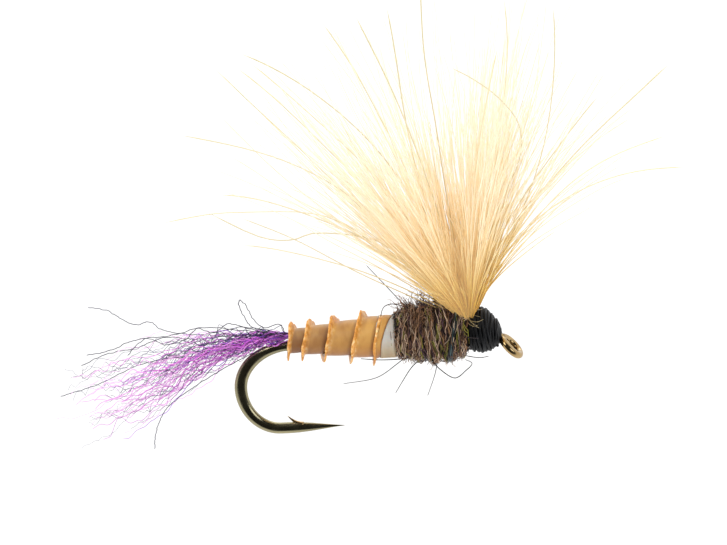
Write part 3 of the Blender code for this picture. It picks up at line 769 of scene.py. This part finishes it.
GUARD_HAIRS = (
    ((-4.6, -0.2, -0.4), (-5.06, -0.2, -0.81), (-5.5, -0.3, -1.4), (-5.96, -0.3, -2.1)),
    ((-3.7, 0.1, -0.4), (-3.81, 0.0, -0.9), (-3.96, 0.0, -1.4), (-4.37, -0.1, -2.4)),
    ((-4.0, -0.3, -0.4), (-3.6, -0.4, -0.9), (-2.9, -0.4, -1.4), (-2.3, -0.3, -1.05), (-2.0, -0.2, -0.75),
     (-2.35, -0.1, -0.55)),
    ((-4.8, -0.2, 2.2), (-5.2, -0.2, 2.43), (-5.75, -0.2, 2.6), (-6.2, -0.2, 2.45), (-6.4, -0.2, 1.95)),
    ((-4.9, 0.0, 2.2), (-5.3, 0.0, 2.6), (-6.05, 0.1, 3.5), (-6.95, 0.2, 4.6)),
    ((-5.2, 0.1, -0.2), (-5.8, 0.0, -0.66), (-6.9, -0.1, -1.3), (-8.6, -0.2, -1.5)),
    ((-4.9, -0.1, -0.25), (-5.6, -0.1, -0.36), (-6.6, -0.1, -0.36), (-7.6, -0.1, -0.24)),
    ((-2.9, -0.6, 0.0), (-2.3, -0.5, -0.2), (-1.6, -0.5, -0.35), (-1.1, -0.5, -0.3)),
    ((-2.5, -0.9, 1.0), (-2.1, -1.15, 1.0), (-1.8, -1.2, 0.95), (-1.5, -1.22, 0.92)),
)


FUR_GROUPS = (
    # The deepest group is the darkest, as painted shade in the fur's depths; the other tones are the
    # dubbing's own mix.
    ("fur_deep_shade", 31, 150, 4, (-0.18, -0.07), 0.03, (0.016, 0.026), "1c110e", "38241c"),
    ("fur_brown", 32, 130, 3, (-0.08, 0.01), 0.08, (0.016, 0.028), "6c482e", "a87c56"),
    ("fur_mauve", 33, 90, 3, (-0.08, 0.01), 0.07, (0.015, 0.026), "40262e", "725058"),
    ("fur_olive", 34, 40, 3, (-0.06, 0.01), 0.04, (0.016, 0.028), "6a601c", "a09a38"),
    ("fur_tan", 35, 95, 2, (-0.02, 0.05), 0.10, (0.015, 0.025), "a8805e", "ecccae"),
)
FUR_TINTS = ((0.0, 0.35), (1.0, 1.0))
FUR_STEPS = 22
CORE_CORNERS = 96


def make_fur_core():
    """A dark solid under the hairs, so that nothing shows through between them: painted shade for the gaps
    between the hairs.
    """
    x = np.linspace(FUR_OUTLINE[-1][0], FUR_OUTLINE[0][0] + 0.06, 90)
    angle = circle(CORE_CORNERS)
    radius = fur_radius(x[:, None], angle[None, :]) - 0.17
    rings = round_thorax(np.repeat(x[:, None], CORE_CORNERS, axis=1), angle[None, :], radius)
    ends = np.repeat(x[[0, -1], None], CORE_CORNERS, axis=1)
    hub = round_thorax(ends, angle[None, :], np.full((2, CORE_CORNERS), 0.34))
    rings = np.concatenate([hub[:1], rings, hub[1:]])
    show("dubbing_core_painted_shade", sweep_mesh("dubbing_core_painted_shade", rings), fur_core_shade_material(),
         "brown_dubbing", "dubbing_noodle", "thorax_underwraps")


def make_fur():
    """Each group is a name, seed, number of locks, hairs in each, depths, lift, radii and two tones."""
    for name, seed, locks, each, depth, lift, size, dark, light in FUR_GROUPS:
        rng = np.random.default_rng(seed)
        count = locks * each
        paths = fur_paths(rng, locks, each, FUR_STEPS, depth, lift)
        radii = rng.uniform(*size, (count, 1)) * np.linspace(1.0, 0.5, FUR_STEPS)[None, :]
        stops = ((0.0, dark), (0.5, light), (1.0, light))
        material = fibre_material(name, stops, FUR_TINTS, Roughness=0.42)
        show(name, fibre_mesh(name, paths, radii, rng.uniform(0, 1, count), across=(1, 0, 0)),
             material, "brown_dubbing")


def make_loose_hairs():
    """Short hair ends that stand off the fur, and the long dark guard hairs."""
    rng = np.random.default_rng(36)
    above = (math.pi - 0.9, math.pi + 0.9)
    below = (-0.8, 0.8)
    loose = np.concatenate([
        loose_paths(rng, 100, 18, (-5.5, -3.4), above, (0.4, 1.4), 0.3),
        loose_paths(rng, 60, 18, (-5.4, -2.3), below, (0.15, 0.5), 0.1),
        loose_paths(rng, 70, 18, (-5.6, -2.2), (0.0, math.tau), (0.10, 0.35), 0.2)])
    radii = rng.uniform(0.015, 0.025, (len(loose), 1)) * np.linspace(1.0, 0.5, 18)[None, :]
    stops = ((0.0, "48301f"), (0.5, "80583c"), (1.0, "a88066"))
    material = fibre_material("fur_loose", stops, FUR_TINTS, Roughness=0.5)
    shades = rng.uniform(0, 1, len(loose))
    show("fur_loose", fibre_mesh("fur_loose", loose, radii, shades, across=(1, 0.2, 0)),
         material, "brown_dubbing")

    guard = np.array([through(points, 40) for points in GUARD_HAIRS])
    radii = rng.uniform(0.030, 0.038, (len(guard), 1)) * np.linspace(1.0, 0.6, 40)[None, :]
    stops = ((0.0, "161012"), (0.5, "261e20"), (1.0, "3a3032"))
    material = fibre_material("guard_hairs", stops, ((0.0, 0.8), (1.0, 1.0)), Roughness=0.4)
    show("guard_hairs", fibre_mesh("guard_hairs", guard, radii, rng.uniform(0, 1, len(guard))),
         material, "brown_dubbing")


def make_rib_thread():
    turn = np.linspace(math.radians(12.0), math.radians(347.0), 140)
    strands = []
    for shift, lift in ((-0.075, 0.00), (0.0, 0.025), (0.08, 0.005)):
        x = -2.80 + shift - 0.28 * np.cos(turn)
        strands.append(round_thorax(x, turn, np.interp(x, *zip(*FUR_OUTLINE)) + 0.02 + lift))
    radii = np.array([[0.042], [0.024], [0.042]])
    shades = np.array([0.0, 0.5, 1.0])
    mesh = fibre_mesh("rib_thread", np.array(strands), radii, shades, sides=8, across=(1, 0, 0))
    show("rib_thread", mesh, rib_thread_material(), "teal_thread", "thorax_rib_thread")


# ---------------------------------------------------------------- wing
WING_STEPS = 24
# Each plume's root across the fly, its tilt and its lean.
PLUMES = ((-0.30, -20.0, -17.0), (-0.10, -7.0, 3.0), (0.10, 7.0, -8.0), (0.30, 20.0, 9.0))


def barb_paths(rng, lean, tilt, length, bend, power, root_y):
    """Barbs that leave a packed root at a lean and turn by their bend towards the tip.

    Angles are (count, 1) from upright, along the fly and across it. A power under 1 turns a
    barb near its root.
    """
    count = len(lean)
    share = np.linspace(0.0, 1.0, WING_STEPS)[None, :]
    wander = 0.16 * waves(rng, count, WING_STEPS, 1.1)
    along = lean + bend * share ** power + wander * share
    across = tilt * (0.85 + 0.3 * share) + 0.10 * waves(rng, count, WING_STEPS, 0.8) * share
    direction = np.stack(
        [np.sin(along) * np.cos(across), np.sin(across), np.cos(along) * np.cos(across)], axis=-1)
    stride = (length / (WING_STEPS - 1))[:, :, None]
    walk = np.cumsum(direction[:, :-1] * stride, axis=1)
    path = np.concatenate([np.zeros((count, 1, 3)), walk], axis=1)
    start = np.stack([
        WING_X + rng.uniform(-0.06, 0.06, count) + 0.10 * lean[:, 0],
        root_y + rng.normal(0.0, 0.09, count),
        WING_ROOT_Z + rng.uniform(-0.35, 0.0, count)], axis=-1)
    return path + start[:, None, :]


def cdc_material(name, glow):
    """Amber around the root and paler further out, with a few tan barbs. Its glow is painted light: an
    emission for the light held among the packed barbs.
    """
    nodes = fibre_nodes(name, clear=0.6, glow=glow, glow_tone="f6dcb0", Roughness=0.6)
    base = nodes.ramp(
        nodes.distance((WING_X, 0.0, WING_ROOT_Z), 16.0),
        (0.0, "ac7c08"), (0.10, "cea234"), (0.18, "e0c070"), (0.28, "ecd6a4"),
        (0.42, "f4e4c6"), (0.70, "f2e6ce"), (1.0, "e8debc"))
    tint = nodes.ramp(
        nodes.attribute("shade"), (0.0, "c6c6b4"), (0.06, "d6d6c6"), (0.10, "f6ecda"),
        (1.0, 1.0))
    return nodes.colour(nodes.mix(1.0, base, tint, "MULTIPLY"))


def plume_barbs(rng, root_y, clumps, radii, *spread):
    """Paths and radii of barbs that leave in clumps.

    Each row of clumps is a lean, tilt, length, bend, power and number of barbs, and spread is
    how far barbs differ from their clump in lean, tilt and bend.
    """
    lean, tilt, length, bend, power, each = zip(*clumps)
    count = sum(each)
    lean, tilt, length, bend, power = (
        np.repeat(column, each)[:, None] for column in (lean, tilt, length, bend, power))
    lean, tilt, bend = (
        np.radians(column + rng.normal(0.0, amount, (count, 1)))
        for column, amount in zip((lean, tilt, bend), spread))
    length = length * (1.06 - 0.50 * rng.uniform(0.0, 1.0, (count, 1)) ** 1.3)
    paths = barb_paths(rng, lean, tilt, length, bend, power, root_y)
    return paths, rng.uniform(*radii, (count, 1)) * np.linspace(1.2, 0.6, WING_STEPS)[None, :]


def make_plume(number, side, root_y, tilt, lean):
    """One side of a plume: a packed web of barbs, and a fringe of wide-flung ones."""
    label = "rear" if side < 0 else "front"
    node = "cdc_plume_%d_%s_barbs" % (number, label)
    rng = np.random.default_rng(100 + 10 * number + side)
    limit = -37.0 if side < 0 else 17.0
    top = 17.0 if side < 0 else 15.5
    web = []
    for row in range(18):
        clump_lean = lean + (limit - lean) * rng.uniform(-0.25, 1.0)
        length = rng.uniform(10.5, top) if row < 9 else rng.uniform(2.5, 7.0)
        web.append((clump_lean, rng.normal(tilt, 5.0), length, side * rng.uniform(-8.0, 14.0), 1.6, 13))
    paths, radii = plume_barbs(rng, root_y, web, (0.018, 0.028), 2.4, 3.5, 8.0)
    name = "plume_%d_%s_barbs" % (number, label)
    show(name, fibre_mesh(name, paths, radii, rng.uniform(0.0, 1.0, len(paths))),
         cdc_material(name, 0.19), "cream_cdc", node)

    fringe = []
    for row in range(3 if side < 0 else 5):
        clump_lean = rng.uniform(-44.0, -30.0) if side < 0 else rng.uniform(10.0, 28.0)
        bend = side * rng.uniform(0.0, 24.0 if side < 0 else 34.0)
        fringe.append((clump_lean, rng.normal(tilt, 8.0), rng.uniform(11.0, 16.0), bend, 0.8, 4))
    paths, radii = plume_barbs(rng, root_y, fringe, (0.024, 0.034), 3.0, 5.0, 10.0)
    name = "plume_%d_%s_fringe" % (number, label)
    show(name, fibre_mesh(name, paths, radii, rng.uniform(0.05, 0.8, len(paths))),
         cdc_material(name, 0.08), "cream_cdc", node)


# Each row is a barb's lean, its bend, its length in millimetres and its tilt.
STRAY_BARBS = (
    (-36.0, -48.0, 14.5, -12.0), (-48.0, -26.0, 12.8, -20.0), (-44.0, 3.0, 15.4, 14.0),
    (-37.0, -3.0, 18.0, -6.0), (-16.0, -46.0, 18.3, 8.0), (-28.0, -46.0, 18.0, -10.0),
    (-24.0, -34.0, 17.0, 12.0), (-60.0, 2.0, 12.6, -8.0), (-31.0, -16.0, 17.2, 4.0),
    (-14.0, 8.0, 17.0, -4.0), (-6.0, 4.0, 17.2, 6.0), (-8.0, -8.0, 18.0, -14.0),
    (14.0, -8.0, 16.6, 3.0), (30.0, -24.0, 17.6, -6.0), (28.0, 30.0, 16.4, 12.0),
    (26.0, 62.0, 14.8, -10.0), (30.0, 44.0, 13.8, 8.0), (20.0, 32.0, 13.0, 16.0),
    (4.0, 12.0, 15.8, -16.0), (-20.0, -10.0, 16.5, 18.0))
CURLED_BARBS = (
    ((-2.0, -0.2, 1.6), (-1.2, -0.8, 4.5), (0.1, -1.4, 7.9), (1.2, -1.7, 10.2), (1.3, -1.8, 12.0),
     (0.4, -1.8, 13.4), (-0.8, -1.7, 14.4), (-2.0, -1.6, 15.1)),
    ((-2.0, 0.1, 1.6), (-3.0, 0.3, 2.5), (-4.4, 0.5, 3.7), (-6.2, 0.7, 5.6), (-9.2, 0.8, 6.2),
     (-10.7, 0.8, 5.9), (-12.4, 0.9, 6.2), (-15.2, 1.0, 7.8)),
    ((-2.0, 0.0, 1.6), (-3.3, -0.3, 3.0), (-5.0, -0.6, 4.7), (-7.5, -1.0, 7.0), (-9.5, -1.2, 7.9),
     (-12.7, -1.5, 8.2), (-14.5, -1.6, 8.2), (-17.0, -1.8, 7.9)),
)


def make_wing():
    for number, (root_y, tilt, lean) in enumerate(PLUMES, start=1):
        for side in (-1, 1):
            make_plume(number, side, root_y, tilt, lean)
        name = "plume_%d_stem" % number
        rng = np.random.default_rng(60 + number)
        path = barb_paths(
            rng, np.radians([[lean]]), np.radians([[tilt]]), np.array([[9.0]]), np.array([[0.05]]), 1.6,
            root_y)
        radii = np.linspace(0.05, 0.02, WING_STEPS)[None, :]
        show(name, fibre_mesh(name, path, radii, np.array([0.5]), sides=6), cdc_material(name, 0.19),
             "cream_cdc", "cdc_plume_%d_stem" % number)


def make_stray_barbs():
    """Single barbs that stand out of the fan."""
    rng = np.random.default_rng(77)
    lean, bend, length, tilt = (np.array(column)[:, None] for column in zip(*STRAY_BARBS))
    paths = barb_paths(rng, np.radians(lean), np.radians(tilt), length, np.radians(bend), 1.2, 0.0)
    curled = np.array([through(points, WING_STEPS * 2)[::2] for points in CURLED_BARBS])
    paths = np.concatenate([paths, curled])
    radii = rng.uniform(0.036, 0.050, (len(paths), 1)) * 0.8
    shades = rng.uniform(0.0, 0.09, len(paths))
    show("stray_barbs", fibre_mesh("stray_barbs", paths, radii, shades),
         cdc_material("stray_barbs", 0.16), "cream_cdc", *nodes_named("stray_barb"))


# ---------------------------------------------------------------- head
HEAD_OUTLINE = (
    (-2.10, 0.80), (-1.90, 0.96), (-1.60, 1.04), (-1.25, 1.02), (-0.94, 0.84), (-0.68, 0.62), (-0.42, 0.34))
HEAD_AXIS = ((-2.10, 0.93), (-1.25, 0.96), (-0.68, 0.80), (-0.42, 0.66))
THREAD_R = 0.062
# Points of each hair, as a place along the hook and degrees round it from below.
HEAD_HAIRS = (
    ((-2.15, 172.0), (-1.90, 158.0), (-1.62, 146.0), (-1.34, 140.0)),
    ((-2.10, 160.0), (-1.92, 140.0), (-1.70, 122.0), (-1.42, 112.0)),
    ((-2.15, 150.0), (-1.86, 134.0), (-1.52, 128.0), (-1.20, 134.0)),
    ((-2.10, 185.0), (-1.84, 170.0), (-1.50, 164.0), (-1.26, 168.0)),
    ((-2.15, 165.0), (-1.96, 150.0), (-1.88, 132.0), (-1.60, 120.0)),
    ((-2.10, 140.0), (-1.94, 126.0), (-1.72, 118.0), (-1.50, 120.0)))
HAIR_STEPS = 24


def head_radius(x):
    """The thread head under its last layer, from the wing to the eye."""
    return np.interp(x, *zip(*HEAD_OUTLINE))


def head_centre(x):
    """Height of the head's middle line."""
    return np.interp(x, *zip(*HEAD_AXIS))


def round_head(x, angle, radius):
    return np.stack([x, -radius * np.sin(angle), head_centre(x) - radius * np.cos(angle)], axis=-1)


def wound_thread(rng, x_from, x_to, turns, lift, tilt):
    """One run of thread wound along the head, its turns bunched and tilted a little."""
    steps = int(turns * 44)
    share = np.linspace(0.0, 1.0, steps)
    angle = math.tau * turns * share + rng.uniform(0.0, math.tau)
    base = x_from + (x_to - x_from) * share + 0.08 * waves(rng, 1, steps, turns * 0.31)[0]
    x = np.clip(base + tilt * np.cos(angle), HEAD_OUTLINE[0][0], HEAD_OUTLINE[-1][0])
    radius = head_radius(x) + lift + 0.035 * waves(rng, 1, steps, turns * 0.9)[0]
    return round_head(x, angle, radius)


def make_head():
    rng = np.random.default_rng(51)
    material = thread_material()
    x = np.linspace(HEAD_OUTLINE[-1][0], HEAD_OUTLINE[0][0], 60)
    rings = lathe_rings(x, head_radius(x) - 0.03, head_centre(x), 64)
    show("head_core", sweep_mesh("head_core", rings), material,
         "black_thread", "head_wraps", "thread_base")
    runs = (
        ("head_thread_1", -2.04, -0.46, 13.0, 0.00, 0.05, ()),
        ("head_thread_2", -0.62, -1.96, 7.0, 0.05, -0.16, ()),
        ("head_thread_3", -1.80, -0.80, 5.0, 0.08, 0.20, ("whip_finish",)),
    )
    for name, x_from, x_to, turns, lift, tilt, replaced in runs:
        path = wound_thread(rng, x_from, x_to, turns, lift, tilt)
        radii = np.full((1, len(path)), THREAD_R)
        show(name, fibre_mesh(name, path[None], radii, np.array([0.5]), sides=8, across=(1, 0, 0)),
             material, "black_thread", *replaced)
    make_head_hairs(rng)


def make_head_hairs(rng):
    """A few stray hairs of the fur that lie over the thread."""
    stations = np.array([through(points, HAIR_STEPS) for points in HEAD_HAIRS])
    x = stations[:, :, 0]
    hairs = round_head(x, np.radians(stations[:, :, 1]), head_radius(x) + 0.16)
    stops = ((0.0, "8c7448"), (0.5, "b09a68"), (1.0, "c4b48c"))
    material = fibre_material("head_hairs", stops, ((0.0, 0.6), (1.0, 1.0)), Roughness=0.5)
    radii = np.linspace(0.020, 0.012, HAIR_STEPS)[None, :]
    show("head_hairs", fibre_mesh("head_hairs", hairs, radii, rng.uniform(0, 1, len(hairs))),
         material, "brown_dubbing")


# ---------------------------------------------------------------- studio
FRAME_WIDTH = 36.35
LENS = 200.0
SENSOR_WIDTH = 36.0
AZIMUTH = math.radians(6.0)
ELEVATION = math.radians(18.0)
ROLL = math.radians(4.86)
VIEW_CENTRE = (-7.375, 3.675)
SKY = 1.2
TENT_FRONT = 0.03
TENT_EDGE = (0.25, 0.50)
FLOOR_Z = -34.0
LAMP_TARGET = (-6.0, 0.0, 5.0)


def camera_axes():
    """The picture's right and up, and the way back from the fly to the camera."""
    right = Vector((math.cos(AZIMUTH), math.sin(AZIMUTH), 0.0))
    back = Vector((
        math.sin(AZIMUTH) * math.cos(ELEVATION), -math.cos(AZIMUTH) * math.cos(ELEVATION),
        math.sin(ELEVATION)))
    up = back.cross(right)
    turned_right = right * math.cos(ROLL) - up * math.sin(ROLL)
    turned_up = right * math.sin(ROLL) + up * math.cos(ROLL)
    return turned_right, turned_up, back


def make_camera():
    """Set so that the eye lies right of and below the middle of the picture."""
    right, up, back = camera_axes()
    target = right * VIEW_CENTRE[0] + up * VIEW_CENTRE[1]
    data = bpy.data.cameras.new("camera")
    data.lens = LENS
    data.sensor_width = SENSOR_WIDTH
    data.clip_start = 0.005
    data.clip_end = 20.0
    distance = FRAME_WIDTH * LENS / SENSOR_WIDTH
    camera = bpy.data.objects.new("camera", data)
    bpy.context.scene.collection.objects.link(camera)
    turn = Matrix((right, up, back)).transposed().to_4x4()
    camera.matrix_world = Matrix.Translation((target + back * distance) * MM) @ turn
    bpy.context.scene.camera = camera


def area_light(name, place, size, power, colour):
    data = bpy.data.lights.new(name, "AREA")
    data.shape = "DISK"
    data.size = size * MM
    data.energy = power
    data.color = colour
    light = bpy.data.objects.new(name, data)
    bpy.context.scene.collection.objects.link(light)
    light.location = Vector(place) * MM
    aim = Vector(LAMP_TARGET) * MM - light.location
    light.rotation_euler = aim.to_track_quat("-Z", "Y").to_euler()


def make_world():
    """White light from all round. Reflections see a tent that is dark where the camera stands."""
    world = bpy.data.worlds.new("studio")
    world.use_nodes = True
    tree = world.node_tree
    sky = tree.nodes["Background"]
    where = tree.nodes.new("ShaderNodeTexCoord")
    facing = tree.nodes.new("ShaderNodeVectorMath")
    facing.operation = "DOT_PRODUCT"
    facing.inputs[1].default_value = camera_axes()[2]
    tent = tree.nodes.new("ShaderNodeMapRange")
    tent.inputs["From Min"].default_value = TENT_EDGE[0]
    tent.inputs["From Max"].default_value = TENT_EDGE[1]
    tent.inputs["To Min"].default_value = SKY
    tent.inputs["To Max"].default_value = TENT_FRONT
    path = tree.nodes.new("ShaderNodeLightPath")
    strength = tree.nodes.new("ShaderNodeMix")
    strength.inputs["A"].default_value = SKY
    tree.links.new(where.outputs["Generated"], facing.inputs[0])
    tree.links.new(facing.outputs["Value"], tent.inputs["Value"])
    tree.links.new(path.outputs["Is Glossy Ray"], strength.inputs["Factor"])
    tree.links.new(tent.outputs["Result"], strength.inputs["B"])
    tree.links.new(strength.outputs["Result"], sky.inputs["Strength"])
    sky.inputs["Color"].default_value = grey(1.0)
    bpy.context.scene.world = world
    bpy.context.scene.view_settings.view_transform = "Standard"
    bpy.context.scene.cycles.diffuse_bounces = 10


def make_studio():
    make_world()
    bpy.ops.mesh.primitive_circle_add(
        vertices=96, radius=6.0, fill_type="NGON", location=(0.0, 0.0, FLOOR_Z * MM))
    floor = bpy.context.object
    floor.name = "floor"
    floor.visible_glossy = False
    nodes = Nodes("paper_floor", Roughness=0.9)
    tone = nodes.ramp(nodes.noise(300.0), (0.3, "e3e3e3"), (0.7, "e6e6e6"))
    floor.data.materials.append(nodes.colour(tone))

    area_light("key", (-400.0, -440.0, 640.0), 400.0, 1.6, (1.0, 0.99, 0.97))
    area_light("fill", (520.0, -480.0, 200.0), 400.0, 1.0, (0.98, 0.99, 1.0))
    area_light("rim", (80.0, 560.0, 480.0), 400.0, 0.6, (1.0, 1.0, 1.0))


def main():
    make_camera()
    make_studio()
    make_hook()
    make_underbody()
    make_strip()
    make_shuck_locks()
    make_shuck_strays()
    make_fur_core()
    make_fur()
    make_loose_hairs()
    make_rib_thread()
    make_wing()
    make_stray_barbs()
    make_head()


main()
